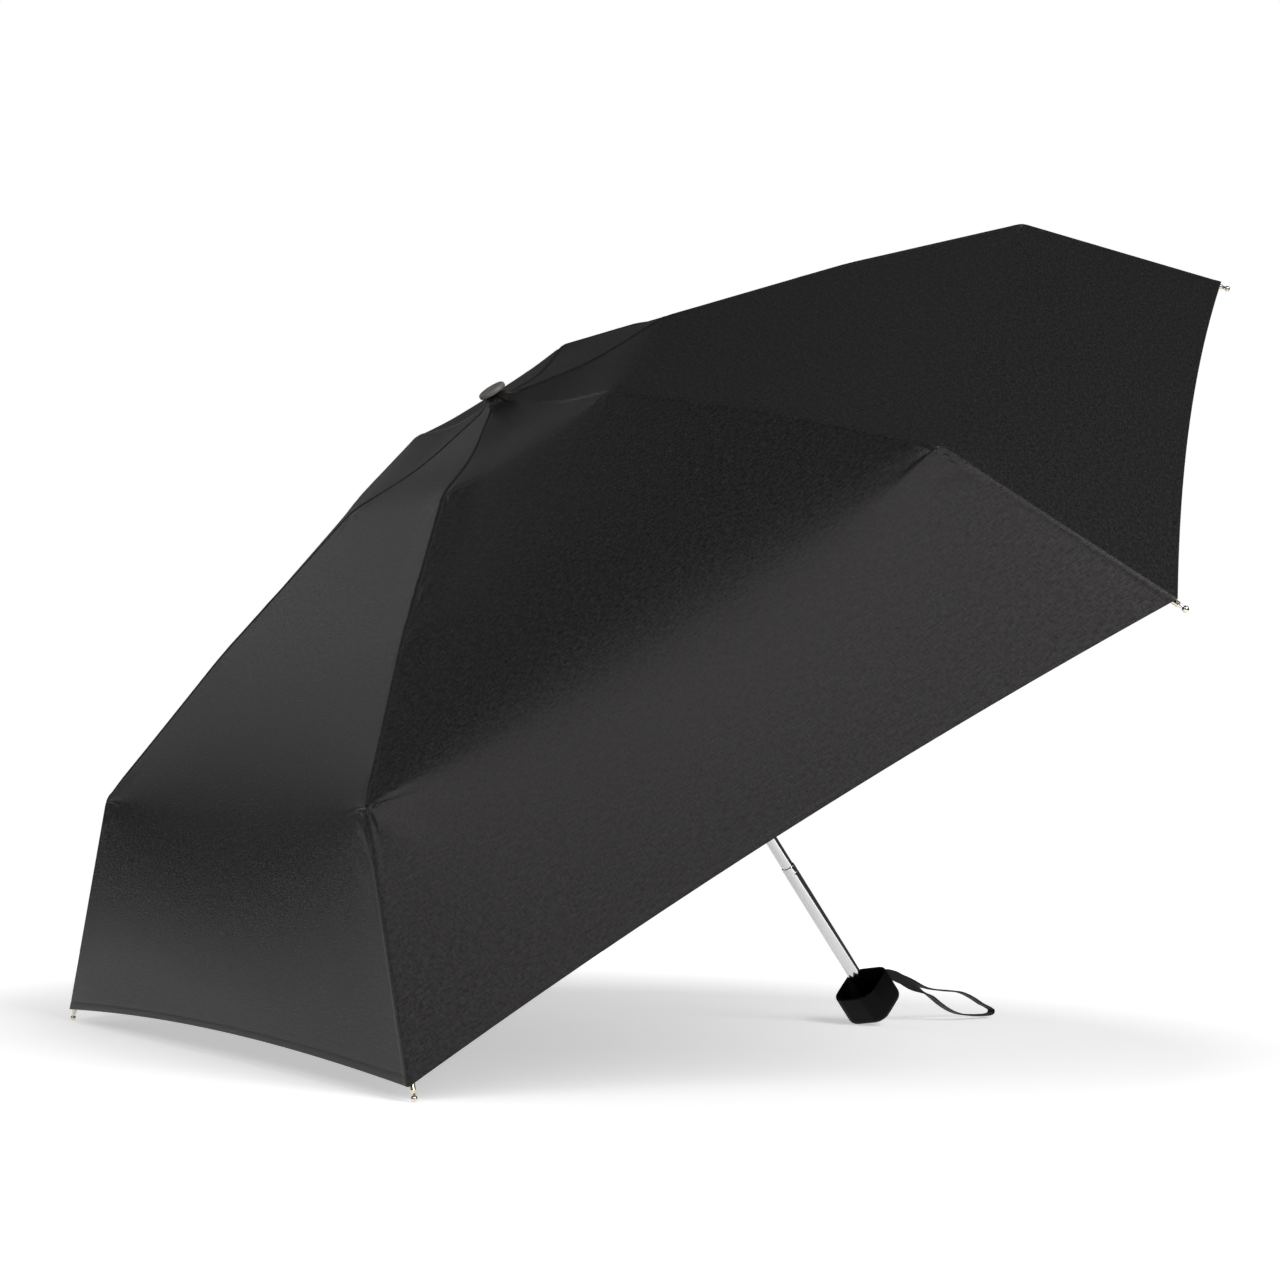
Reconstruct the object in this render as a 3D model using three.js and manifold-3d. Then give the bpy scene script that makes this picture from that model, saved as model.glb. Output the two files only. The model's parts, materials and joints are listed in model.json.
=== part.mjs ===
// Folding umbrella, open, lying on two of its rib tips and its handle. Millimetres, +Z up.
// The origin is the centre of its footprint on the ground. The shaft lies in the XZ plane, and +X runs
// from the grounded rib tips towards the handle.
//
// It is designed in the umbrella's own frame, "upright": z along the shaft, 0 at the top of the canopy,
// with the grounded ribs 30 degrees to either side of +x. Each rib is a zigzag of five links that
// folds flat against the shaft, driven by a stretcher from the runner, and the shaft has four stages.
import * as THREE from 'three';
import { mergeVertices } from 'three/addons/utils/BufferGeometryUtils.js';
import Module from 'manifold-3d';

const wasm = await Module();
wasm.setup();

// ---- Driving dimensions -------------------------------------------------------------------------
const RIBS = 6;
const GAP = 0.35; // between neighbouring solids
const degrees = Math.PI / 180;

// Rib links, from the crown outwards: length between pivots, angle to the horizontal when open,
// and lane, the sideways place that lets neighbouring links pass each other when they fold.
const LINK_WIDTH = 2.1;
const LINK_DEPTH = 3;
const TIP_DEPTH = 2;
const LANE = 2.4;
const ELBOW = 1.75; // the outward-folding pivots sit this far below the links' middle
const links = {
  top: { length: 56, angle: -9.5 * degrees },
  second: { length: 49.8, angle: 0.7 * degrees },
  middle: { length: 121.2, angle: -16 * degrees },
  fourth: { length: 116.8, angle: -19.4 * degrees },
  tip: { length: 138, angle: -46.5 * degrees },
};
const CRANK = 12; // of the second link, inwards of its pivot: the stretcher's end
const STRETCHER = 52;
const PIN_RADIUS = 0.85;
const HOLE_RADIUS = 1.2;
const LUG_RADIUS = 1.95;
const HEAD_RADIUS = 1.5;
const HEAD = 0.6;

// Crown and runner, which hold the links' inner ends on a wire ring.
const PIVOT_RADIUS = 9;
const CROWN_Z = -12;
const RING_RADIUS = Math.hypot(PIVOT_RADIUS, LANE);
const WIRE_RADIUS = 0.5;
const EYE_HOLE = 1.25;
const EYE_RADIUS = 2.1;
const DISC_RADIUS = 10.6;
const DISC_HALF = 2.6;
const SLOT_FLOOR = 6.6;
const CAP_RADIUS = 9;

// Shaft: tube radii, wall, and where each tube starts and ends, from the handle up.
const WALL = 0.3;
const TRAVEL = 110; // of each stage as it closes
const STAGE = TRAVEL + 2; // bare length of a pulled-out middle tube
const OVERLAP = 8;
const RIM_Z = -484;
const LOWER_TUBE_TOP = RIM_Z + 104;
const tubeRadii = [4.7, 4.1, 3.5, 2.9];

// Handle: a cup with a rounded-square section.
const CUP_HALF = 17;
const CUP_CORNER = 10;
const CUP_STRAIGHT = 19;
const CUP_ROUND = 5;
const CUP_WALL = 1.6;
const CUP_FLOOR = 3.6;
const CUP_TURN = 14 * degrees;

// Canopy.
const CLOTH = 0.4;
const HEM_ARCH = 7.5;
const PANEL_COLUMNS = 6;

// Wrist strap, a flat ribbon.
const RIBBON_WIDTH = 7;
const RIBBON_THICK = 1.1;

// ---- Materials ----------------------------------------------------------------------------------
function finish(color, roughness, metalness) {
  return new THREE.MeshStandardMaterial({ color, roughness, metalness });
}

const cloth = finish(0x2b2a2b, 0.85, 0);
const ribbon = finish(0x161616, 0.8, 0);
const chrome = finish(0xd8d8da, 0.18, 1);
const wire = finish(0xb9b9b6, 0.3, 1);
const blackSteel = finish(0x1a1a1b, 0.4, 0.6);
const aluminium = finish(0xb4b5b8, 0.35, 1);
const resin = finish(0x121213, 0.55, 0);
const mattePlastic = finish(0x151516, 0.6, 0);
const capPlastic = finish(0x5a5653, 0.5, 0);

// ---- Solids -------------------------------------------------------------------------------------
/** Joins equal vertices, drops empty triangles and turns the faces outwards. */
function closed(geometry) {
  geometry.deleteAttribute('normal');
  geometry.deleteAttribute('uv');
  const merged = mergeVertices(geometry, 1e-4);
  const position = merged.getAttribute('position');
  const old = merged.getIndex().array;
  const [a, b, c] = [new THREE.Vector3(), new THREE.Vector3(), new THREE.Vector3()];
  const kept = [];
  let volume = 0;
  for (let i = 0; i < old.length; i += 3) {
    const [p, q, r] = old.slice(i, i + 3);
    if (p === q || q === r || r === p) continue;
    kept.push(p, q, r);
    a.fromBufferAttribute(position, p);
    b.fromBufferAttribute(position, q);
    c.fromBufferAttribute(position, r);
    volume += a.dot(b.cross(c));
  }
  if (volume < 0) kept.reverse();
  const result = new THREE.BufferGeometry();
  result.setAttribute('position', new THREE.BufferAttribute(new Float32Array(position.array), 3));
  result.setIndex(kept);
  return result;
}

function solid(geometry) {
  const tidy = closed(geometry);
  return new wasm.Manifold(new wasm.Mesh({
    numProp: 3,
    vertProperties: new Float32Array(tidy.getAttribute('position').array),
    triVerts: new Uint32Array(tidy.getIndex().array),
  }));
}

function toGeometry(manifold) {
  const mesh = manifold.getMesh();
  const geometry = new THREE.BufferGeometry();
  geometry.setAttribute('position', new THREE.BufferAttribute(new Float32Array(mesh.vertProperties), 3));
  geometry.setIndex(Array.from(mesh.triVerts));
  return geometry;
}

function join(first, ...others) {
  return others.reduce((whole, next) => whole.add(next), first);
}

function cut(first, ...others) {
  return others.reduce((whole, next) => whole.subtract(next), first);
}

/** A body turned about z from [radius, z] points. */
function turned(profile, segments = 24) {
  const points = profile.map(([radius, z]) => new THREE.Vector2(radius, z));
  return new THREE.LatheGeometry(points, segments).rotateX(Math.PI / 2);
}

/** A ring turned about z: its profile closes on itself. */
function turnedRing(profile, segments = 24) {
  return turned([...profile, profile[0]], segments);
}

function box(x0, x1, y0, y1, z0, z1) {
  return new THREE.BoxGeometry(x1 - x0, y1 - y0, z1 - z0)
    .translate((x0 + x1) / 2, (y0 + y1) / 2, (z0 + z1) / 2);
}

/** A round bar across a link, along y. */
function crossBar(radius, x, z, y0, y1, sides = 12) {
  return new THREE.CylinderGeometry(radius, radius, Math.abs(y1 - y0), sides).translate(x, (y0 + y1) / 2, z);
}

function wireRing(wireRadius, z) {
  return new THREE.TorusGeometry(RING_RADIUS, wireRadius, 6, 24).translate(0, 0, z);
}

/** A closed body through rings of equally many points, capped at both ends. */
function loft(rings) {
  const count = rings[0].length;
  const middle = (ring) => ring.reduce((sum, p) => sum.add(p), new THREE.Vector3()).divideScalar(count);
  const points = [...rings.flat(), middle(rings[0]), middle(rings.at(-1))];
  const [start, end] = [points.length - 2, points.length - 1];
  const last = (rings.length - 1) * count;
  const faces = [];
  for (let k = 0; k < count; k++) {
    const next = (k + 1) % count;
    for (let r = 0; r < rings.length - 1; r++) {
      const [a, b] = [r * count + k, r * count + next];
      faces.push(a, b, b + count, a, b + count, a + count);
    }
    faces.push(start, next, k, end, last + k, last + next);
  }
  const geometry = new THREE.BufferGeometry().setFromPoints(points);
  geometry.setIndex(faces);
  return closed(geometry);
}

/** A thin closed body between two equal grids of points. */
function sheet(upper, lower) {
  const [rows, columns] = [upper.length, upper[0].length];
  const at = (side, r, c) => side * rows * columns + r * columns + c;
  const faces = [];
  const quad = (a, b, c, d) => faces.push(a, b, c, a, c, d);
  for (let r = 0; r < rows - 1; r++) {
    for (let c = 0; c < columns - 1; c++) {
      quad(at(0, r, c), at(0, r + 1, c), at(0, r + 1, c + 1), at(0, r, c + 1));
      quad(at(1, r, c), at(1, r, c + 1), at(1, r + 1, c + 1), at(1, r + 1, c));
    }
    quad(at(0, r, 0), at(1, r, 0), at(1, r + 1, 0), at(0, r + 1, 0));
    quad(at(0, r, columns - 1), at(0, r + 1, columns - 1), at(1, r + 1, columns - 1), at(1, r, columns - 1));
  }
  for (let c = 0; c < columns - 1; c++) {
    quad(at(0, 0, c), at(0, 0, c + 1), at(1, 0, c + 1), at(1, 0, c));
    quad(at(0, rows - 1, c), at(1, rows - 1, c), at(1, rows - 1, c + 1), at(0, rows - 1, c + 1));
  }
  const geometry = new THREE.BufferGeometry().setFromPoints([...upper.flat(), ...lower.flat()]);
  geometry.setIndex(faces);
  return closed(geometry);
}

function addMesh(parent, name, geometry, material) {
  const mesh = new THREE.Mesh(geometry, material);
  mesh.name = name;
  parent.add(mesh);
  return mesh;
}

/** A moving frame. A hinge turns its children about its own -y, which lifts a link's outer end. */
function addFrame(parent, name, x = 0, z = 0, angle = 0) {
  const frame = new THREE.Group();
  frame.name = name;
  frame.position.set(x, 0, z);
  frame.rotation.y = -angle;
  parent.add(frame);
  return frame;
}

// ---- Rib links, each in its own frame: inner pivot at the origin, x along the link --------------
const half = LINK_WIDTH / 2;

/** A flat bar in one lane, with a round lug at each pivot. */
function bar(lane, from, to, middle, depth, lugs) {
  const [y0, y1] = [lane - half, lane + half];
  const body = solid(box(from, to, y0, y1, middle - depth / 2, middle + depth / 2));
  return join(body, ...lugs.map(([x, z, radius]) => solid(crossBar(radius, x, z, y0, y1))));
}

function hole(lane, x, z, radius = HOLE_RADIUS) {
  return solid(crossBar(radius, x, z, lane - half - 1, lane + half + 1));
}

/** A riveted pin with a head, through the link beside this one. side is -1 or 1. */
function pin(x, z, side) {
  const headStart = side * (LANE + half + GAP);
  return join(
    solid(crossBar(PIN_RADIUS, x, z, 0, headStart + side * HEAD / 2, 8)),
    solid(crossBar(HEAD_RADIUS, x, z, headStart, headStart + side * HEAD, 8)),
  );
}

// The folded elbow's lug lies here, against the top link.
const ELBOW_FOLDED = links.top.length - links.second.length;
const NOTCH_HALF = LUG_RADIUS + GAP;
const elbowNotch = box(ELBOW_FOLDED - NOTCH_HALF, ELBOW_FOLDED + NOTCH_HALF,
  -LANE - LINK_WIDTH, -LANE + LINK_WIDTH, ELBOW - NOTCH_HALF, LINK_DEPTH);

function topRib() {
  const { length } = links.top;
  const body = bar(-LANE, 0, length, 0, LINK_DEPTH, [[0, 0, EYE_RADIUS], [length, 0, LUG_RADIUS]]);
  return cut(body, hole(-LANE, 0, 0, EYE_HOLE), hole(-LANE, length, 0), solid(elbowNotch));
}

function secondRib() {
  const { length } = links.second;
  const lugs = [[-CRANK, 0, LUG_RADIUS], [0, 0, LUG_RADIUS], [length, -ELBOW, LUG_RADIUS]];
  return join(bar(0, -CRANK, length + 1, 0, LINK_DEPTH, lugs), pin(0, 0, -1), pin(length, -ELBOW, -1));
}

function middleRib() {
  const { length } = links.middle;
  const body = bar(-LANE, -1, length, ELBOW, LINK_DEPTH, [[0, 0, LUG_RADIUS], [length, ELBOW, LUG_RADIUS]]);
  return cut(body, hole(-LANE, 0, 0), hole(-LANE, length, ELBOW));
}

function fourthRib() {
  const { length } = links.fourth;
  const lugs = [[0, 0, LUG_RADIUS], [length, -ELBOW, LUG_RADIUS]];
  return join(bar(0, 0, length, 0, LINK_DEPTH, lugs), pin(0, 0, -1), pin(length, -ELBOW, 1));
}

const TIP_JOG_START = 125;
const TIP_JOG_END = 133;
const FERRULE = 5;
const BALL_AT = 9;
const BALL_RADIUS = 1.8;

/** The last link runs beside the fourth, then jogs to the rib's middle and ends in a small ball. */
function tipRib() {
  const { length } = links.tip;
  const outline = new THREE.Shape([
    [-1, LANE - half], [TIP_JOG_START, LANE - half], [TIP_JOG_END, -half], [length, -half],
    [length, half], [TIP_JOG_END + 1, half], [TIP_JOG_START + 1, LANE + half], [-1, LANE + half],
  ].map(([x, y]) => new THREE.Vector2(x, y)));
  const body = new THREE.ExtrudeGeometry(outline, { depth: TIP_DEPTH, bevelEnabled: false })
    .translate(0, 0, ELBOW - TIP_DEPTH / 2);
  const stub = turned([
    [0, length - 1], [1.5, length - 1], [1.5, length + FERRULE], [0.9, length + FERRULE + 1],
    [0.9, length + BALL_AT - 1], [0, length + BALL_AT - 1],
  ], 8)
    .rotateY(Math.PI / 2).translate(0, 0, ELBOW);
  const ball = new THREE.SphereGeometry(BALL_RADIUS, 8, 6).translate(length + BALL_AT, 0, ELBOW);
  const lug = solid(crossBar(LUG_RADIUS, 0, 0, LANE - half, LANE + half));
  return cut(join(solid(body), lug, solid(stub), solid(ball)), hole(LANE, 0, 0));
}

function stretcher() {
  const body = bar(LANE, 0, STRETCHER, 0, LINK_DEPTH, [[0, 0, EYE_RADIUS], [STRETCHER, 0, LUG_RADIUS]]);
  return cut(body, hole(LANE, 0, 0, EYE_HOLE), hole(LANE, STRETCHER, 0));
}

// ---- Crown and runner ---------------------------------------------------------------------------
/** One radial slot for each rib through a disc whose pivots are at height z. */
function slots(lane, z0, z1) {
  return Array.from({ length: RIBS }, (_, i) => {
    const [y0, y1] = [lane - half - GAP, lane + half + GAP];
    return solid(box(SLOT_FLOOR, DISC_RADIUS + 1, y0, y1, z0, z1).rotateZ(ribAzimuth(i)));
  });
}

function ribAzimuth(i) {
  return ((i + 0.5) * 2 * Math.PI) / RIBS;
}

const CROWN_NECK = 10;
const CROWN_STEM_TOP = 1;
const CAP_Z = -0.9;
const CAP_THICK = 3.2;

function crown() {
  const neck = tubeRadii[3] + GAP;
  const body = solid(turned([
    [0, CROWN_Z + 1.8], [neck, CROWN_Z + 1.8], [neck, CROWN_Z - CROWN_NECK], [5, CROWN_Z - CROWN_NECK],
    [5.6, CROWN_Z - DISC_HALF], [DISC_RADIUS, CROWN_Z - DISC_HALF], [DISC_RADIUS, CROWN_Z + 3.4],
    [4.2, -3.2], [1.7, -2.6], [1.7, CROWN_STEM_TOP], [0, CROWN_STEM_TOP],
  ]));
  const channel = solid(wireRing(WIRE_RADIUS + GAP, CROWN_Z));
  return cut(body, channel, ...slots(-LANE, CROWN_Z - DISC_HALF - 1, CROWN_Z + EYE_RADIUS + GAP));
}

/** Screwed onto the crown's stem, over the canopy. */
function topCap() {
  const socket = 1.7 + GAP;
  return turned([
    [0, CROWN_STEM_TOP + GAP], [socket, CROWN_STEM_TOP + GAP], [socket, CAP_Z], [CAP_RADIUS - 0.8, CAP_Z],
    [CAP_RADIUS, CAP_Z + 0.8], [CAP_RADIUS, CAP_Z + CAP_THICK - 1], [CAP_RADIUS - 0.9, CAP_Z + CAP_THICK],
    [0, CAP_Z + CAP_THICK],
  ]);
}

const RUNNER_BORE = tubeRadii[0] + 0.4;
const RUNNER_SKIN = RUNNER_BORE + 1.2;

function runner(z) {
  const body = solid(turnedRing([
    [RUNNER_BORE, z + 3.4], [RUNNER_BORE, z - 16], [8.2, z - 16], [8.4, z - 13.4], [RUNNER_SKIN, z - 12.6],
    [RUNNER_SKIN, z - DISC_HALF], [DISC_RADIUS, z - DISC_HALF], [DISC_RADIUS, z + DISC_HALF],
    [RUNNER_SKIN, z + DISC_HALF], [RUNNER_SKIN, z + 3.4],
  ]));
  const channel = solid(wireRing(WIRE_RADIUS + GAP, z));
  return cut(body, channel, ...slots(LANE, z - DISC_HALF - 1, z + DISC_HALF + 1));
}

// ---- Shaft and handle ---------------------------------------------------------------------------
const CATCH_WIDTH = 1.6;
const CATCH_HEIGHT = 8;

function tube(stage, bottom, top) {
  const outer = tubeRadii[stage];
  const inner = outer - WALL;
  return closed(turnedRing([[inner, bottom], [outer, bottom], [outer, top], [inner, top]]));
}

/** Points round a square with rounded corners at height z. */
function roundedSquare(side, corner, z, perCorner = 6) {
  const points = [];
  const origin = new THREE.Vector2();
  for (let quarter = 0; quarter < 4; quarter++) {
    const facing = quarter * Math.PI / 2 + CUP_TURN;
    const middle = new THREE.Vector2(side - corner, side - corner).rotateAround(origin, facing);
    for (let k = 0; k < perCorner; k++) {
      const angle = facing + (k / (perCorner - 1)) * Math.PI / 2;
      const [x, y] = [middle.x + corner * Math.cos(angle), middle.y + corner * Math.sin(angle)];
      points.push(new THREE.Vector3(x, y, z));
    }
  }
  return points;
}

const CUP_BOTTOM = RIM_Z - CUP_STRAIGHT - CUP_ROUND;
const CUP_INSIDE = CUP_BOTTOM + CUP_FLOOR;

/** Open at the top, so that the folded rib tips stand in it. */
function handleCup() {
  const rings = [];
  for (let k = 0; k <= 4; k++) {
    const turn = (k / 4) * Math.PI / 2;
    const inset = CUP_ROUND * (1 - Math.sin(turn));
    const z = CUP_BOTTOM + CUP_ROUND * (1 - Math.cos(turn));
    rings.push(roundedSquare(CUP_HALF - inset, CUP_CORNER - inset, z));
  }
  const inner = [CUP_HALF - CUP_WALL, CUP_CORNER - CUP_WALL];
  rings.push(roundedSquare(CUP_HALF, CUP_CORNER, RIM_Z - 0.5));
  rings.push(roundedSquare(CUP_HALF - 0.5, CUP_CORNER - 0.5, RIM_Z));
  rings.push(roundedSquare(...inner, RIM_Z));
  rings.push(roundedSquare(...inner, CUP_INSIDE + 2));
  rings.push(roundedSquare(inner[0] - 2, inner[1] - 2, CUP_INSIDE));
  return loft(rings);
}

/** Holds the lowest tube in the cup. */
function handlePlug() {
  const bore = tubeRadii[0] + GAP;
  return turned([[0, CUP_INSIDE + GAP], [8, CUP_INSIDE + GAP], [8, CUP_INSIDE + 6], [6.5, CUP_INSIDE + 9],
    [bore, CUP_INSIDE + 9], [bore, CUP_INSIDE + 1.4], [0, CUP_INSIDE + 1.4]]);
}

// ---- Linkage, worked out in the plane of a rib: [radius, z] -------------------------------------
function along(start, angle, x, z = 0) {
  const [cos, sin] = [Math.cos(angle), Math.sin(angle)];
  return [start[0] + x * cos - z * sin, start[1] + x * sin + z * cos];
}

const crownPivot = [PIVOT_RADIUS, CROWN_Z];
const firstPivot = along(crownPivot, links.top.angle, links.top.length);
const elbowPivot = along(firstPivot, links.second.angle, links.second.length, -ELBOW);
const kneePivot = along(elbowPivot, links.middle.angle, links.middle.length, ELBOW);
const shoulderPivot = along(kneePivot, links.fourth.angle, links.fourth.length, -ELBOW);
const tipEnd = along(shoulderPivot, links.tip.angle, links.tip.length, ELBOW);
const crankEnd = along(firstPivot, links.second.angle, -CRANK);
const stretcherRise = Math.sqrt(STRETCHER ** 2 - (crankEnd[0] - PIVOT_RADIUS) ** 2);
const RUNNER_Z = crankEnd[1] - stretcherRise;
const stretcherAngle = Math.atan2(stretcherRise, crankEnd[0] - PIVOT_RADIUS);

// ---- Canopy panels: gores sewn along the ribs ---------------------------------------------------
const mean = (a, b) => (a + b) / 2;

/** The cloth's line along a rib, clear of the links below it. */
const seam = [
  [5, -2.5],
  [DISC_RADIUS + 0.6, CROWN_Z + 4.2],
  along(firstPivot, mean(links.top.angle, links.second.angle), 0, 2.6),
  along(elbowPivot, mean(links.second.angle, links.middle.angle), 0, ELBOW + 2.7),
  along(kneePivot, mean(links.middle.angle, links.fourth.angle), 0, 2.8),
  along(shoulderPivot, mean(links.fourth.angle, links.tip.angle), 0, ELBOW + 3),
  along(tipEnd, links.tip.angle, 0, 3.1),
];
const SEAM_CLEARANCE = 0.25;

/** The gore between rib i and the next, straight across between them, with an arched hem. */
function canopyPanel(i) {
  const [from, to] = [ribAzimuth(i), ribAzimuth(i + 1)];
  const [skirtStart, hemCorner] = seam.slice(-2);
  const skirt = Math.hypot(hemCorner[0] - skirtStart[0], hemCorner[1] - skirtStart[1]);
  const grid = (shift) => seam.map(([radius, z], row) => {
    const points = [];
    for (let c = 0; c <= PANEL_COLUMNS; c++) {
      const share = c / PANEL_COLUMNS;
      const rise = row === seam.length - 1 ? 4 * HEM_ARCH * share * (1 - share) / skirt : 0;
      const r = radius + (skirtStart[0] - radius) * rise;
      const height = z + (skirtStart[1] - z) * rise;
      const inset = SEAM_CLEARANCE / r;
      const start = new THREE.Vector3(r * Math.cos(from + inset), r * Math.sin(from + inset), height + shift);
      const end = new THREE.Vector3(r * Math.cos(to - inset), r * Math.sin(to - inset), height + shift);
      points.push(start.lerp(end, share));
    }
    return points;
  });
  return sheet(grid(CLOTH / 2), grid(-CLOTH / 2));
}

// ---- Assembly -----------------------------------------------------------------------------------
const foldingUmbrella = new THREE.Group();
const upright = new THREE.Group();
foldingUmbrella.add(upright);

const middleTubeTop = LOWER_TUBE_TOP + STAGE;
const upperTubeTop = middleTubeTop + STAGE;
addMesh(upright, 'handle_cup', handleCup(), mattePlastic);
addMesh(upright, 'handle_plug', closed(handlePlug()), resin);
addMesh(upright, 'shaft_tube_1', tube(0, CUP_INSIDE + 2, LOWER_TUBE_TOP), chrome);

const secondStage = addFrame(upright, 'tube_2_slide');
addMesh(secondStage, 'shaft_tube_2', tube(1, LOWER_TUBE_TOP - OVERLAP, middleTubeTop), chrome);
const thirdStage = addFrame(secondStage, 'tube_3_slide');
addMesh(thirdStage, 'shaft_tube_3', tube(2, middleTubeTop - OVERLAP, upperTubeTop), chrome);

const topStage = addFrame(thirdStage, 'tube_4_slide');
const catchTop = RUNNER_Z - 16 - 2;
const catchSlot = box(0.5, tubeRadii[3] + 1, -CATCH_WIDTH / 2 - GAP, CATCH_WIDTH / 2 + GAP,
  catchTop - CATCH_HEIGHT - GAP, catchTop + GAP);
const topTube = cut(solid(tube(3, upperTubeTop - OVERLAP, CROWN_Z + 1.4)), solid(catchSlot));
addMesh(topStage, 'shaft_tube_4', toGeometry(topTube), chrome);
addMesh(topStage, 'crown', toGeometry(crown()), mattePlastic);
addMesh(topStage, 'crown_wire', closed(wireRing(WIRE_RADIUS, CROWN_Z)), wire);
addMesh(topStage, 'top_cap', closed(topCap()), capPlastic);

/** A sprung leaf that stands out of the top tube under the runner and holds the umbrella open. */
const catchFrame = addFrame(topStage, 'runner_catch_press');
const catchOutline = new THREE.Shape([[1, 0], [4.6, 0.6], [5.2, 1.6], [2.4, CATCH_HEIGHT], [1, CATCH_HEIGHT]]
  .map(([x, down]) => new THREE.Vector2(x, catchTop - down)));
const catchLeaf = new THREE.ExtrudeGeometry(catchOutline, { depth: CATCH_WIDTH, bevelEnabled: false })
  .rotateX(Math.PI / 2).translate(0, CATCH_WIDTH / 2, 0);
addMesh(catchFrame, 'runner_catch', closed(catchLeaf), wire);

const runnerFrame = addFrame(topStage, 'runner_slide');
addMesh(runnerFrame, 'runner', toGeometry(runner(RUNNER_Z)), mattePlastic);
addMesh(runnerFrame, 'runner_wire', closed(wireRing(WIRE_RADIUS, RUNNER_Z)), wire);

for (let i = 0; i < RIBS; i++) {
  const number = i + 1;
  const rib = new THREE.Group();
  rib.rotation.z = ribAzimuth(i);
  topStage.add(rib);
  const top = addFrame(rib, `top_rib_${number}_hinge`, ...crownPivot, links.top.angle);
  const second = addFrame(top, `second_rib_${number}_hinge`, links.top.length, 0,
    links.second.angle - links.top.angle);
  const middle = addFrame(second, `middle_rib_${number}_hinge`, links.second.length, -ELBOW,
    links.middle.angle - links.second.angle);
  const fourth = addFrame(middle, `fourth_rib_${number}_hinge`, links.middle.length, ELBOW,
    links.fourth.angle - links.middle.angle);
  const tip = addFrame(fourth, `tip_rib_${number}_hinge`, links.fourth.length, -ELBOW,
    links.tip.angle - links.fourth.angle);
  addMesh(top, `top_rib_${number}`, toGeometry(topRib()), blackSteel);
  addMesh(second, `second_rib_${number}`, toGeometry(secondRib()), blackSteel);
  addMesh(middle, `middle_rib_${number}`, toGeometry(middleRib()), aluminium);
  addMesh(fourth, `fourth_rib_${number}`, toGeometry(fourthRib()), aluminium);
  addMesh(tip, `tip_rib_${number}`, toGeometry(tipRib()), resin);

  const runnerSide = new THREE.Group();
  runnerSide.rotation.z = ribAzimuth(i);
  runnerFrame.add(runnerSide);
  const strut = addFrame(runnerSide, `stretcher_${number}_hinge`, PIVOT_RADIUS, RUNNER_Z, stretcherAngle);
  addMesh(strut, `stretcher_${number}`, toGeometry(stretcher()), blackSteel);
  addMesh(topStage, `canopy_panel_${number}`, canopyPanel(i), cloth);
}

// ---- Laid down: the tilt at which the cup and the two tips beside +x touch the ground together --
function cornersOf(mesh) {
  mesh.updateWorldMatrix(true, false);
  const position = mesh.geometry.getAttribute('position');
  const points = [];
  for (let k = 0; k < position.count; k++) {
    points.push(new THREE.Vector3().fromBufferAttribute(position, k).applyMatrix4(mesh.matrixWorld));
  }
  return points;
}

function lowest(points, tilt) {
  return Math.min(...points.map((p) => p.z * Math.cos(tilt) - p.x * Math.sin(tilt)));
}

const cupPoints = cornersOf(upright.getObjectByName('handle_cup'));
const tipPoints = cornersOf(upright.getObjectByName('tip_rib_1'));
let [flat, steep] = [20 * degrees, 60 * degrees];
for (let step = 0; step < 50; step++) {
  const tilt = mean(flat, steep);
  if (lowest(cupPoints, tilt) < lowest(tipPoints, tilt)) flat = tilt;
  else steep = tilt;
}
upright.rotation.set(0, -flat, Math.PI);
foldingUmbrella.updateMatrixWorld(true);
const extent = new THREE.Box3().setFromObject(foldingUmbrella, true);
upright.position.set(-mean(extent.min.x, extent.max.x), -mean(extent.min.y, extent.max.y), -extent.min.z);
foldingUmbrella.updateMatrixWorld(true);

// ---- Wrist strap --------------------------------------------------------------------------------
// Its anchor is a lug on the cup's upper back face, and the ribbon's two ends leave it side by side.
const ANCHOR_HEIGHT = RIM_Z - 13;
const ANCHOR_AZIMUTH = Math.PI + CUP_TURN;
const anchorFrame = new THREE.Group();
anchorFrame.rotation.z = ANCHOR_AZIMUTH;
upright.add(anchorFrame);
const ANCHOR_DEPTH = 2.4;
const anchorFace = CUP_HALF + GAP + ANCHOR_DEPTH;
addMesh(anchorFrame, 'strap_anchor',
  box(CUP_HALF + GAP, anchorFace, -4, 4, ANCHOR_HEIGHT - 4.5, ANCHOR_HEIGHT + 4.5), resin);
anchorFrame.updateWorldMatrix(true, false);

/** [along +X from the anchor, along +Y from the anchor, height above the ground] */
const strapRoute = [
  [0.9, -1.1, 31.3], [2.8, -0.9, 32.5], [6, -1, 33.2], [11, -1.6, 32.4], [17, -2.4, 29.8],
  [24, -3.1, 26], [34, -4.2, 21.6], [43, -5, 17], [49, -5.4, 13], [55, -5.4, 9.6], [62, -5, 6.6],
  [70, -4.2, 4.4], [79, -3, 3.2], [88, -1.8, 2.6], [97, -0.4, 2.3], [104, 0.8, 2.5],
  [107.4, 1.6, 3.6], [108, 2, 5.4], [105, 2.5, 7.4], [99, 2.8, 9.8], [92, 3, 13.4],
  [85, 3.2, 16.6], [77, 3.2, 19], [68, 3, 20], [58.5, 2.6, 20.8], [49, 2.2, 21.9], [39, 1.9, 24],
  [28, 1.8, 27], [18, 1.8, 30.4], [11, 1.9, 32.8], [6, 1.9, 33.4], [2.8, 1.7, 32.6],
  [0.9, 1.3, 31.4],
];
const STRAP_STEPS = 56;
const TWIST_START = 18;
const TWIST_END = 44;

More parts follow.
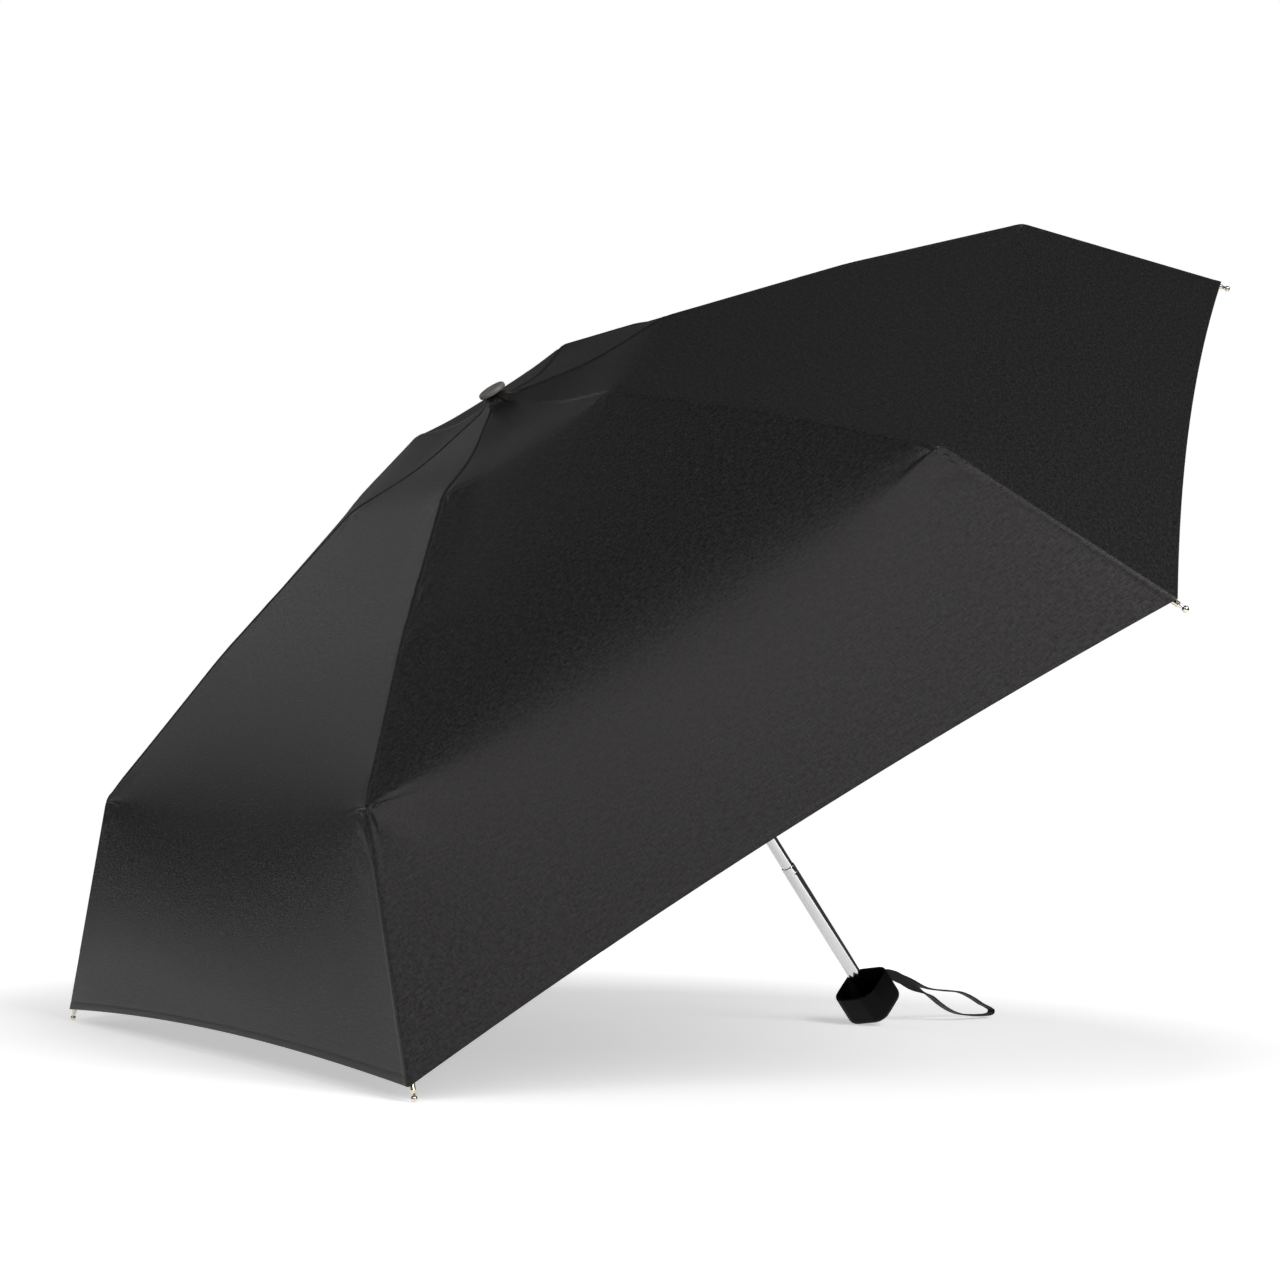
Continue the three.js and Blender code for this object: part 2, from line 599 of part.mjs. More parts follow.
/** The ribbon stands on edge at the cup, then turns a quarter, so that its loop lies open. */
function strap(start) {
  const points = strapRoute.map(([x, y, z]) => new THREE.Vector3(start.x + x, start.y + y, z));
  const curve = new THREE.CatmullRomCurve3(points);
  const rings = [];
  for (let s = 0; s <= STRAP_STEPS; s++) {
    const centre = curve.getPointAt(s / STRAP_STEPS);
    const forward = curve.getTangentAt(s / STRAP_STEPS);
    const across = new THREE.Vector3(0, 1, 0).addScaledVector(forward, -forward.y).normalize();
    const up = forward.clone().cross(across);
    const turn = THREE.MathUtils.smoothstep(centre.x - start.x, TWIST_START, TWIST_END) * Math.PI / 2;
    const wide = up.clone().multiplyScalar(Math.cos(turn)).addScaledVector(across, Math.sin(turn));
    const thick = across.clone().multiplyScalar(Math.cos(turn)).addScaledVector(up, -Math.sin(turn));
    rings.push([[-1, -0.8], [-0.6, -1], [0.6, -1], [1, -0.8], [1, 0.8], [0.6, 1], [-0.6, 1], [-1, 0.8]]
      .map(([a, b]) => centre.clone()
        .addScaledVector(thick, a * RIBBON_THICK / 2)
        .addScaledVector(wide, b * RIBBON_WIDTH / 2)));
  }
  return loft(rings);
}

const anchorMouth = new THREE.Vector3(anchorFace + GAP, 0, ANCHOR_HEIGHT)
  .applyMatrix4(anchorFrame.matrixWorld);
addMesh(foldingUmbrella, 'wrist_strap', strap(anchorMouth), ribbon);

export default foldingUmbrella;
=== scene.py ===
"""Looks of the folding umbrella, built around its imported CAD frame.

Shapes are designed in the umbrella's own frame, in millimetres: z runs up the shaft from 0 at the top
of the canopy, and rib 1 and rib 6 lie 30 degrees to either side of +x. row() lays them down.
"""

import json
import math

import bmesh
import bpy
import numpy as np
from mathutils import Matrix, Vector, noise


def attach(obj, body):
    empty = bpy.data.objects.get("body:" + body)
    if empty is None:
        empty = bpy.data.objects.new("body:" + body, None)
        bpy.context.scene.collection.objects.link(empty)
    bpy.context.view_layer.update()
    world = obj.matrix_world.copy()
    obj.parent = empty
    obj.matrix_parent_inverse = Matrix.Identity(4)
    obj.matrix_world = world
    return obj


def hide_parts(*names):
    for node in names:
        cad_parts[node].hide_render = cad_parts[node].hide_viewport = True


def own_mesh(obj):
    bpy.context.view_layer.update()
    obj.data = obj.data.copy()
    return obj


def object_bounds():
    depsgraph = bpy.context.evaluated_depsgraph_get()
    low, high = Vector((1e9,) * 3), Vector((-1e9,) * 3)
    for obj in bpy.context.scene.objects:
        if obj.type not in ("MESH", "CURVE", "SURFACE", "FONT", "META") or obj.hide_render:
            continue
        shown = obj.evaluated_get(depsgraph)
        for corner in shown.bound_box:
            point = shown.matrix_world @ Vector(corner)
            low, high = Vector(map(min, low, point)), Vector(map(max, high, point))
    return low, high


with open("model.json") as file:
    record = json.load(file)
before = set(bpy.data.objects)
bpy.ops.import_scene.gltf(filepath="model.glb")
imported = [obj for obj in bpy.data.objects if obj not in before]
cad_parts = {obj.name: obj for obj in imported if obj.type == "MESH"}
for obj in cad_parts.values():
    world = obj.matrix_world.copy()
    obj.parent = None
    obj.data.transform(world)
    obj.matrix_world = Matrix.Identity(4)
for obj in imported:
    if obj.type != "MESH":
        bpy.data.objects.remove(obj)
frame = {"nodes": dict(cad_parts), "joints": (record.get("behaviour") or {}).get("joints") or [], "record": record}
CAD_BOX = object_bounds()

JOINTS = {j["name"]: j for j in frame["joints"]}
MOUNTS = {m["name"]: m for m in frame["record"]["mounts"]}
RIBS = 6
MM = 0.001

# ---- Driving dimensions, in millimetres and degrees, as in the CAD ------------------------------
ELBOW = 1.75  # the outward-folding pivots lie this far below the links' middle
LANE = 2.4
LINKS = ("top", "second", "middle", "fourth", "tip")
LENGTH = {"top": 56, "second": 49.8, "middle": 121.2, "fourth": 116.8, "tip": 138}
ANGLE = {"top": -9.5, "second": 0.7, "middle": -16, "fourth": -19.4, "tip": -46.5}
CRANK = 12
STRETCHER = 52
PIVOT_RADIUS, CROWN_Z = 9, -12
DISC_RADIUS = 10.6
CAP_Z, CAP_THICK, CAP_RADIUS = -0.9, 3.2, 9
RIM_Z = -484
TUBE_RADII = (4.7, 4.1, 3.5, 2.9)
TUBE_TOPS = (RIM_Z + 104, RIM_Z + 216, RIM_Z + 328, CROWN_Z + 1.4)
OVERLAP = 8
CUP_HALF, CUP_CORNER, CUP_STRAIGHT, CUP_ROUND = 17, 10, 19, 5
CUP_WALL, CUP_FLOOR, CUP_TURN = 1.6, 3.6, 14
CUP_BOTTOM = RIM_Z - CUP_STRAIGHT - CUP_ROUND
HEM_ARCH = 7.5

# ---- Frames -------------------------------------------------------------------------------------
UP = -np.array(JOINTS["runner_slide"]["axis"])
ACROSS = np.array([0.0, -1.0, 0.0])
AXES = np.stack([np.cross(ACROSS, UP), ACROSS, UP])
TOP = np.array(MOUNTS["cap_top"]["pos_m"]) - UP * (CAP_Z + CAP_THICK) * MM


def row(points):
    """Points of the umbrella's frame, in millimetres, as row-frame points in metres."""
    return TOP + np.asarray(points, float) * MM @ AXES


def azimuth(rib):
    """Of a rib, counted from 1, in radians."""
    return math.radians((rib - 0.5) * 360 / RIBS)


def around(angle, points):
    """Turns points of the XZ plane, where ribs are drawn, about the shaft."""
    points = np.asarray(points, float)
    cos, sin = math.cos(angle), math.sin(angle)
    x, y, z = points[..., 0], points[..., 1], points[..., 2]
    return np.stack([x * cos - y * sin, x * sin + y * cos, z], -1)


def step(start, degrees, x, z=0.0):
    """The [radius, z] reached from start, x along a link at that angle and z across it."""
    a = math.radians(degrees)
    return np.array([start[0] + x * math.cos(a) - z * math.sin(a),
                     start[1] + x * math.sin(a) + z * math.cos(a)])


PIVOT = {"top": np.array([PIVOT_RADIUS, CROWN_Z], float)}
PIVOT["second"] = step(PIVOT["top"], ANGLE["top"], LENGTH["top"])
PIVOT["middle"] = step(PIVOT["second"], ANGLE["second"], LENGTH["second"], -ELBOW)
PIVOT["fourth"] = step(PIVOT["middle"], ANGLE["middle"], LENGTH["middle"], ELBOW)
PIVOT["tip"] = step(PIVOT["fourth"], ANGLE["fourth"], LENGTH["fourth"], -ELBOW)
RIB_END = step(PIVOT["tip"], ANGLE["tip"], LENGTH["tip"], ELBOW)
CRANK_END = step(PIVOT["second"], ANGLE["second"], -CRANK)
STRETCHER_RISE = math.sqrt(STRETCHER**2 - (CRANK_END[0] - PIVOT_RADIUS) ** 2)
RUNNER_Z = CRANK_END[1] - STRETCHER_RISE
PIVOT["stretcher"] = np.array([PIVOT_RADIUS, RUNNER_Z])
ANGLE["stretcher"] = math.degrees(math.atan2(STRETCHER_RISE, CRANK_END[0] - PIVOT_RADIUS))


def in_link(link, rib, points):
    """Points of a link's frame, x along it from its inner pivot, in the umbrella's frame."""
    points = np.asarray(points, float)
    a = math.radians(ANGLE[link])
    x, y, z = points[..., 0], points[..., 1], points[..., 2]
    radius = PIVOT[link][0] + x * math.cos(a) - z * math.sin(a)
    height = PIVOT[link][1] + x * math.sin(a) + z * math.cos(a)
    return around(azimuth(rib), np.stack([radius, y, height], -1))


# ---- Meshes -------------------------------------------------------------------------------------
def new_piece(name, points, faces, material, smooth=40):
    """A mesh from points of the umbrella's frame; edges sharper than smooth, in degrees, stay sharp."""
    return row_piece(name, row(points), faces, material, smooth)


def row_piece(name, points, faces, material, smooth=40):
    mesh = bpy.data.meshes.new(name)
    mesh.from_pydata([tuple(p) for p in points], [], faces)
    bm = bmesh.new()
    bm.from_mesh(mesh)
    bmesh.ops.recalc_face_normals(bm, faces=bm.faces)
    bm.to_mesh(mesh)
    bm.free()
    mesh.materials.append(material)
    obj = bpy.data.objects.new(name, mesh)
    bpy.context.scene.collection.objects.link(obj)
    mesh.shade_smooth()
    mesh.set_sharp_from_angle(angle=math.radians(smooth))
    return obj


def skin(rings, closed=True, caps=True):
    """Points and faces through rings of equally many points; closed joins the last point to the first."""
    rings = [np.asarray(r, float) for r in rings]
    count = len(rings[0])
    faces = []
    for r in range(len(rings) - 1):
        for k in range(count if closed else count - 1):
            a, b = r * count + k, r * count + (k + 1) % count
            faces.append((a, b, b + count, a + count))
    if caps:
        faces.append(tuple(range(count - 1, -1, -1)))
        faces.append(tuple(range((len(rings) - 1) * count, len(rings) * count)))
    return np.concatenate(rings), faces


def merge(*shapes):
    """One list of points and faces from several."""
    points, faces, start = [], [], 0
    for p, f in shapes:
        points.append(np.asarray(p, float))
        faces += [tuple(i + start for i in face) for face in f]
        start += len(p)
    return np.concatenate(points), faces


def lathe(profile, segments=64):
    """A ring or body turned about z from [radius, z] points; it closes on itself off the axis."""
    on_axis = profile[0][0] == 0 and profile[-1][0] == 0
    inner = profile[1:-1] if on_axis else profile
    turn = np.linspace(0, 2 * math.pi, segments, endpoint=False)
    rings = [np.stack([r * np.cos(turn), r * np.sin(turn), np.full(segments, z)], -1) for r, z in inner]
    if on_axis:
        return skin(rings)
    return skin([*rings, rings[0]], caps=False)


def rounded(profile, radius, steps=4):
    """The same [x, z] outline with its inner corners rounded off."""
    out = [np.asarray(profile[0], float)]
    for before, here, after in zip(profile, profile[1:], profile[2:]):
        before, here, after = (np.asarray(p, float) for p in (before, here, after))
        to, away = before - here, after - here
        cut = min(radius, 0.45 * np.linalg.norm(to), 0.45 * np.linalg.norm(away))
        start = here + to / np.linalg.norm(to) * cut
        end = here + away / np.linalg.norm(away) * cut
        for t in np.linspace(0, 1, steps):
            out.append((1 - t) ** 2 * start + 2 * t * (1 - t) * here + t**2 * end)
    out.append(np.asarray(profile[-1], float))
    return [tuple(p) for p in out]


def cylinder(radius, start, end, sides=20, bevel=0.0):
    """A round bar between two points, with a bevel at its ends."""
    start, end = np.asarray(start, float), np.asarray(end, float)
    length = np.linalg.norm(end - start)
    forward = (end - start) / length
    side = np.cross(forward, (0, 0, 1) if abs(forward[2]) < 0.9 else (1, 0, 0))
    side /= np.linalg.norm(side)
    up = np.cross(forward, side)
    turn = np.linspace(0, 2 * math.pi, sides, endpoint=False)
    circle = np.outer(np.cos(turn), side) + np.outer(np.sin(turn), up)
    stops = [(0, radius - bevel), (bevel, radius), (length - bevel, radius), (length, radius - bevel)]
    if not bevel:
        stops = [(0, radius), (length, radius)]
    return skin([start + forward * x + circle * r for x, r in stops])


def ball(radius, centre, sides=20):
    rings = []
    for t in np.linspace(0.06, math.pi - 0.06, 11):
        turn = np.linspace(0, 2 * math.pi, sides, endpoint=False)
        rings.append(np.asarray(centre) + radius * np.stack(
            [np.full(sides, -math.cos(t)), math.sin(t) * np.cos(turn), math.sin(t) * np.sin(turn)], -1))
    return skin(rings)


def extruded(outline, y0, y1):
    """A flat plate: [x, z] outline between two lanes."""
    sides = [[(x, y, z) for x, z in outline] for y in (y0, y1)]
    return skin(sides)


def place_in_link(shape, link, rib):
    return in_link(link, rib, shape[0]), shape[1]


def bevelled(obj, width, segments=2, angle=35):
    """Softens a piece's sharp edges."""
    bevel = obj.modifiers.new("edges", "BEVEL")
    bevel.width = width * MM
    bevel.segments = segments
    bevel.limit_method = "ANGLE"
    bevel.angle_limit = math.radians(angle)
    bevel.harden_normals = True
    return obj


def finish_piece(obj, body, slot, *nodes):
    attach(obj, body)
    if nodes:
        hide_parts(*nodes)
    return obj


# ---- Materials ----------------------------------------------------------------------------------
class Nodes:
    """Short calls for building one node material."""

    def __init__(self, name, base, roughness, metallic=0.0):
        self.material = bpy.data.materials.new(name)
        self.material.use_nodes = True
        self.tree = self.material.node_tree
        self.shader = self.tree.nodes["Principled BSDF"]
        self.shader.inputs["Base Color"].default_value = (*base, 1)
        self.shader.inputs["Roughness"].default_value = roughness
        self.shader.inputs["Metallic"].default_value = metallic

    def set(self, **values):
        for name, value in values.items():
            self.shader.inputs[name.replace("_", " ")].default_value = value
        return self

    def node(self, kind, **values):
        made = self.tree.nodes.new(kind)
        for name, value in values.items():
            socket = made.inputs.get(name.replace("_", " "))
            if socket is not None and not hasattr(made, name):
                socket.default_value = value
            else:
                setattr(made, name, value)
        return made

    def link(self, source, target):
        self.tree.links.new(source, target)

    def coordinates(self, scale, kind="Object"):
        """Texture coordinates times scale, one number for each axis."""
        source = self.node("ShaderNodeTexCoord")
        mapping = self.node("ShaderNodeMapping")
        mapping.inputs["Scale"].default_value = scale
        self.link(source.outputs[kind], mapping.inputs["Vector"])
        return mapping.outputs["Vector"]

    def noise(self, vector, scale, detail=3.0, roughness=0.5):
        made = self.node("ShaderNodeTexNoise")
        made.inputs["Scale"].default_value = scale
        made.inputs["Detail"].default_value = detail
        made.inputs["Roughness"].default_value = roughness
        self.link(vector, made.inputs["Vector"])
        return made.outputs["Fac"]

    def wave(self, vector, scale, direction):
        made = self.node("ShaderNodeTexWave")
        made.bands_direction = direction
        made.inputs["Scale"].default_value = scale
        self.link(vector, made.inputs["Vector"])
        return made.outputs["Fac"]

    def mix(self, kind, a, b):
        """A Math node of two sockets or numbers."""
        made = self.node("ShaderNodeMath")
        made.operation = kind
        for socket, value in zip(made.inputs, (a, b)):
            if isinstance(value, (int, float)):
                socket.default_value = value
            else:
                self.link(value, socket)
        return made.outputs[0]

    def spread(self, value, low, high, start=0.0, end=1.0):
        made = self.node("ShaderNodeMapRange")
        self.link(value, made.inputs["Value"])
        for name, number in zip(("From Min", "From Max", "To Min", "To Max"), (start, end, low, high)):
            made.inputs[name].default_value = number
        return made.outputs["Result"]

    def colour(self, value, low, high):
        made = self.node("ShaderNodeMix")
        made.data_type = "RGBA"
        made.inputs["A"].default_value = (*low, 1)
        made.inputs["B"].default_value = (*high, 1)
        self.link(value, made.inputs["Factor"])
        self.link(made.outputs["Result"], self.shader.inputs["Base Color"])
        return self

    def roughness(self, value, low, high):
        self.link(self.spread(value, low, high), self.shader.inputs["Roughness"])
        return self

    def bump(self, height, strength, distance):
        made = self.node("ShaderNodeBump")
        made.inputs["Strength"].default_value = strength
        made.inputs["Distance"].default_value = distance * MM
        self.link(height, made.inputs["Height"])
        self.link(made.outputs["Normal"], self.shader.inputs["Normal"])
        return self


def pongee():
    """Fine woven cloth: slubby threads both ways, a faint warm bloom at grazing angles."""
    m = Nodes("pongee", (0.009, 0.0085, 0.009), 0.48)
    m.set(Sheen_Weight=0.04, Sheen_Roughness=0.35, Sheen_Tint=(0.62, 0.55, 0.52, 1),
          Specular_Tint=(1, 0.955, 0.985, 1))
    weft = m.noise(m.coordinates((0.22, 0.85, 1), "UV"), 1.0, 4.0, 0.65)
    warp = m.noise(m.coordinates((0.85, 0.3, 1), "UV"), 1.0, 4.0, 0.65)
    threads = m.mix("MULTIPLY", m.mix("ADD", weft, warp), 0.5)
    slubs = m.spread(m.noise(m.coordinates((0.28, 1.1, 1), "UV"), 1.0, 2.0), 0, 1, 0.6, 0.72)
    cloud = m.noise(m.coordinates((0.02, 0.02, 1), "UV"), 1.0, 3.0)
    tone = m.mix("ADD", m.spread(threads, -0.2, 0.9, 0.36, 0.64), m.mix("MULTIPLY", slubs, 0.8))
    tone = m.mix("ADD", tone, m.spread(cloud, -0.1, 0.1))
    m.colour(tone, (0.0052, 0.0048, 0.0051), (0.0128, 0.0119, 0.0125))
    m.roughness(m.spread(threads, 0, 1, 0.36, 0.64), 0.37, 0.59)
    m.link(m.spread(m.mix("ADD", threads, m.mix("MULTIPLY", slubs, 0.12)), 0.34, 0.7, 0.38, 0.66),
           m.shader.inputs["Specular IOR Level"])
    m.bump(m.mix("ADD", threads, m.mix("MULTIPLY", slubs, 0.4)), 0.5, 0.3)
    return m.material


def webbing():
    """Woven ribbon with fine ribs across it."""
    m = Nodes("webbing", (0.006, 0.006, 0.006), 0.75)
    m.set(Sheen_Weight=0.15, Sheen_Roughness=0.5, Specular_IOR_Level=0.25)
    ribs = m.wave(m.coordinates((1, 0, 0), "UV"), 0.45, "X")
    threads = m.noise(m.coordinates((0.6, 4, 1), "UV"), 1.0, 2.0)
    m.colour(m.mix("MULTIPLY", ribs, threads), (0.004, 0.004, 0.004), (0.012, 0.0118, 0.0116))
    m.bump(m.mix("ADD", ribs, threads), 0.6, 0.15)
    return m.material


def plated(name, base, roughness, scratch):
    """Bright metal, drawn along the shaft."""
    m = Nodes(name, base, roughness, 1.0)
    fine = m.noise(m.coordinates((900, 900, 900)), 1.0, 2.0)
    cloud = m.noise(m.coordinates((60, 60, 60)), 1.0, 2.0)
    m.roughness(m.mix("MULTIPLY", fine, cloud), roughness * 0.95, roughness * 1.15)
    m.bump(fine, scratch, 0.01)
    return m.material


def moulded(name, dark, light, roughness, grain, depth, shine=0.4):
    """Moulded plastic or paint with a fine spark-eroded grain."""
    m = Nodes(name, dark, roughness)
    m.set(Specular_IOR_Level=shine)
    fine = m.noise(m.coordinates((grain, grain, grain)), 1.0, 3.0, 0.6)
    cloud = m.noise(m.coordinates((45, 45, 45)), 1.0, 2.0)
    m.colour(m.mix("MULTIPLY", fine, cloud), dark, light)
    m.roughness(fine, roughness * 0.85, roughness * 1.15)
    m.bump(fine, 0.4, depth)
    return m.material


CLOTH = pongee()
RIBBON = webbing()
CHROME = plated("chrome", (0.8, 0.8, 0.81), 0.09, 0.002)
WIRE = plated("steel_wire", (0.62, 0.61, 0.59), 0.24, 0.2)
TIP_METAL = plated("tip_metal", (0.72, 0.66, 0.56), 0.2, 0.1)
ALUMINIUM = plated("rib_aluminium", (0.66, 0.665, 0.68), 0.3, 0.3)
BLACK_STEEL = moulded("black_steel", (0.009, 0.009, 0.01), (0.02, 0.02, 0.021), 0.34, 900, 0.02)
RESIN = moulded("tip_resin", (0.006, 0.006, 0.006), (0.013, 0.013, 0.013), 0.42, 1400, 0.02)
MATTE_BLACK = moulded("handle_black", (0.0008, 0.0008, 0.0009), (0.003, 0.003, 0.0031), 0.5, 2600, 0.05, 0.1)
INNER_PLASTIC = moulded("inner_plastic", (0.006, 0.006, 0.006), (0.014, 0.014, 0.014), 0.45, 1400, 0.03)
CAP_GREY = moulded("cap_grey", (0.17, 0.155, 0.145), (0.25, 0.235, 0.22), 0.4, 1800, 0.03)


# ---- Camera, floor and light --------------------------------------------------------------------
FLOOR_RADIUS, FLOOR_SIDES, FLOOR_DEPTH = 0.85, 96, 0.0002
FLOOR_GLOW = (0.5, 1.0)  # emission strength within the first radius below and beyond the second: a glowing floor whose weaker glow near the umbrella is painted shade on the floor around it
GLOW_REACH = (0.34, 0.7)
CEILING = (0.5, 0.82)  # sines of the elevations between which the white sweep fades
SWEEP_LIGHT = (0.04, 0.06)  # what the sweep and the ceiling give
LIGHT_DISTANCE, LIGHT_SIZE = 2.2, 1.2
SOFTBOXES = {  # the direction each stands in, and its power in watts
    "front": ((0, -0.85, 0.5), 30),
    "left_front": ((-0.73, -0.43, 0.53), 8.5),
    "back_left": ((-0.21, 0.81, 0.54), 1.9),
    "back_left_low": ((-0.45, 0.75, 0.35), 1.8),
    "right": ((0.55, -0.55, 0.6), 1.2),
    "top": ((0.05, 0.05, 1), 0.7),
}


def add_camera():
    lens, sensor = 62.47, 36
    position = Vector((-0.8374, -1.1683, 0.1419))
    forward = Vector((0.5761, 0.8137, 0.0775)).normalized()
    right = Vector((0.8149, -0.5792, 0.0228))
    right = (right - forward * right.dot(forward)).normalized()
    camera = bpy.data.cameras.new("camera")
    camera.lens, camera.sensor_width = lens, sensor
    obj = bpy.data.objects.new("camera", camera)
    bpy.context.scene.collection.objects.link(obj)
    turn = Matrix((right, right.cross(forward), -forward)).transposed()
    obj.matrix_world = Matrix.Translation(position) @ turn.to_4x4()
    bpy.context.scene.camera = obj


def add_softbox(name, direction, power):
    """A round soft light that looks at the umbrella from that direction."""
    light = bpy.data.lights.new(name, "AREA")
    light.shape, light.size, light.energy = "DISK", LIGHT_SIZE, power
    obj = bpy.data.objects.new(name, light)
    centre = (CAD_BOX[0] + CAD_BOX[1]) / 2
    back = Vector(direction).normalized()
    obj.location = centre + back * LIGHT_DISTANCE
    obj.rotation_mode = "QUATERNION"
    obj.rotation_quaternion = (-back).to_track_quat("-Z", "Y")
    bpy.context.scene.collection.objects.link(obj)


def add_floor():
    """A disc of white paper that glows more the further it is from the umbrella: the glow is painted light, and
    the weaker glow near the umbrella is painted shade on the floor around it.
    """
    mesh = bpy.data.meshes.new("floor")
    rim = np.linspace(0, 2 * math.pi, FLOOR_SIDES, endpoint=False)
    mesh.from_pydata([(FLOOR_RADIUS * math.cos(t), FLOOR_RADIUS * math.sin(t), -FLOOR_DEPTH) for t in rim],
                     [], [tuple(range(FLOOR_SIDES))])
    paper = Nodes("floor_paper", (0.9, 0.9, 0.9), 0.85)
    paper.set(Specular_IOR_Level=0.1, Emission_Color=(1, 1, 1, 1))
    away = paper.node("ShaderNodeVectorMath")
    away.operation = "LENGTH"
    paper.link(paper.coordinates((1, 1, 1)), away.inputs[0])
    # painted shade: the floor glows less near the umbrella, so the floor around it darkens as if shaded
    paper.link(paper.spread(away.outputs["Value"], *FLOOR_GLOW, *GLOW_REACH),
               paper.shader.inputs["Emission Strength"])
    mesh.materials.append(paper.material)
    floor = bpy.data.objects.new("floor", mesh)
    bpy.context.scene.collection.objects.link(floor)


def add_studio():
    """A white sweep all round that reaches up to a dim ceiling, over a softly glowing floor whose weaker glow near
    the umbrella is painted shade around it.
    """
    world = bpy.data.worlds.new("studio")
    world.use_nodes = True
    tree = world.node_tree
    place = tree.nodes.new("ShaderNodeTexCoord")
    split = tree.nodes.new("ShaderNodeSeparateXYZ")
    fall = tree.nodes.new("ShaderNodeMapRange")
    fall.interpolation_type = "SMOOTHSTEP"
    for name, value in zip(("From Min", "From Max", "To Min", "To Max"), (*CEILING, *SWEEP_LIGHT)):
        fall.inputs[name].default_value = value
    tree.links.new(place.outputs["Generated"], split.inputs["Vector"])
    tree.links.new(split.outputs["Z"], fall.inputs["Value"])
    rays = tree.nodes.new("ShaderNodeLightPath")
    seen = tree.nodes.new("ShaderNodeMix")
    seen.inputs["B"].default_value = 1.0
    tree.links.new(rays.outputs["Is Camera Ray"], seen.inputs["Factor"])
    tree.links.new(fall.outputs["Result"], seen.inputs["A"])
    tree.links.new(seen.outputs["Result"], tree.nodes["Background"].inputs["Strength"])
    tree.nodes["Background"].inputs["Color"].default_value = (1, 1, 1, 1)
    scene = bpy.context.scene
    scene.world = world
    scene.view_settings.view_transform = "Standard"
    for name, (direction, power) in SOFTBOXES.items():
        add_softbox(name, direction, power)
    add_floor()


add_camera()


# ---- Wrist strap: its two ends leave the lug side by side, and its loop lies on the ground ------
RIBBON_WIDTH, RIBBON_THICK = 7, 1.1
ANCHOR_DEPTH, GAP = 2.4, 0.35
ANCHOR_HEIGHT = RIM_Z - 13
ANCHOR_AZIMUTH = math.radians(180 + CUP_TURN)
# Along +X and +Y from the lug's mouth, and height above the ground.
STRAP_ROUTE = [
    (0.9, -1.1, 31.3), (2.8, -0.9, 32.5), (6, -1, 33.2), (11, -1.6, 32.4), (17, -2.4, 29.8),
    (24, -3.1, 26), (34, -4.2, 21.6), (43, -5, 17), (49, -5.4, 13), (55, -5.4, 9.6), (62, -5, 6.6),
    (70, -4.2, 4.4), (79, -3, 3.2), (88, -1.8, 2.6), (97, -0.4, 2.3), (104, 0.8, 2.5),
    (107.4, 1.6, 3.6), (108, 2, 5.4), (105, 2.5, 7.4), (99, 2.8, 9.8), (92, 3, 13.4),
    (85, 3.2, 16.6), (77, 3.2, 19), (68, 3, 20), (58.5, 2.6, 20.8), (49, 2.2, 21.9), (39, 1.9, 24),
    (28, 1.8, 27), (18, 1.8, 30.4), (11, 1.9, 32.8), (6, 1.9, 33.4), (2.8, 1.7, 32.6),
    (0.9, 1.3, 31.4),
]
TWIST_START, TWIST_END = 18, 44


def smooth_line(points, per_span=8):
    """A centripetal Catmull-Rom curve through the points."""
    points = np.asarray(points, float)
    ends = [2 * points[0] - points[1], 2 * points[-1] - points[-2]]
    p = np.concatenate([ends[:1], points, ends[1:]])
    line = []
    for a, b, c, d in zip(p, p[1:], p[2:], p[3:]):
        t = [0.0]
        for u, v in ((a, b), (b, c), (c, d)):
            t.append(t[-1] + math.sqrt(np.linalg.norm(v - u)))
        for s in np.linspace(t[1], t[2], per_span, endpoint=False):
            ab = a + (b - a) * (s - t[0]) / (t[1] - t[0])
            bc = b + (c - b) * (s - t[1]) / (t[2] - t[1])
            cd = c + (d - c) * (s - t[2]) / (t[3] - t[2])
            abc = ab + (bc - ab) * (s - t[0]) / (t[2] - t[0])
            bcd = bc + (cd - bc) * (s - t[1]) / (t[3] - t[1])
            line.append(abc + (bcd - abc) * (s - t[1]) / (t[2] - t[1]))
    return np.array([*line, points[-1]])


def add_uv(obj, uv):
    """One UV for each vertex, in millimetres."""
    layer = obj.data.uv_layers.new(name="weave")
    index = np.zeros(len(obj.data.loops), int)
    obj.data.loops.foreach_get("vertex_index", index)
    layer.data.foreach_set("uv", np.asarray(uv, np.float32)[index].ravel())


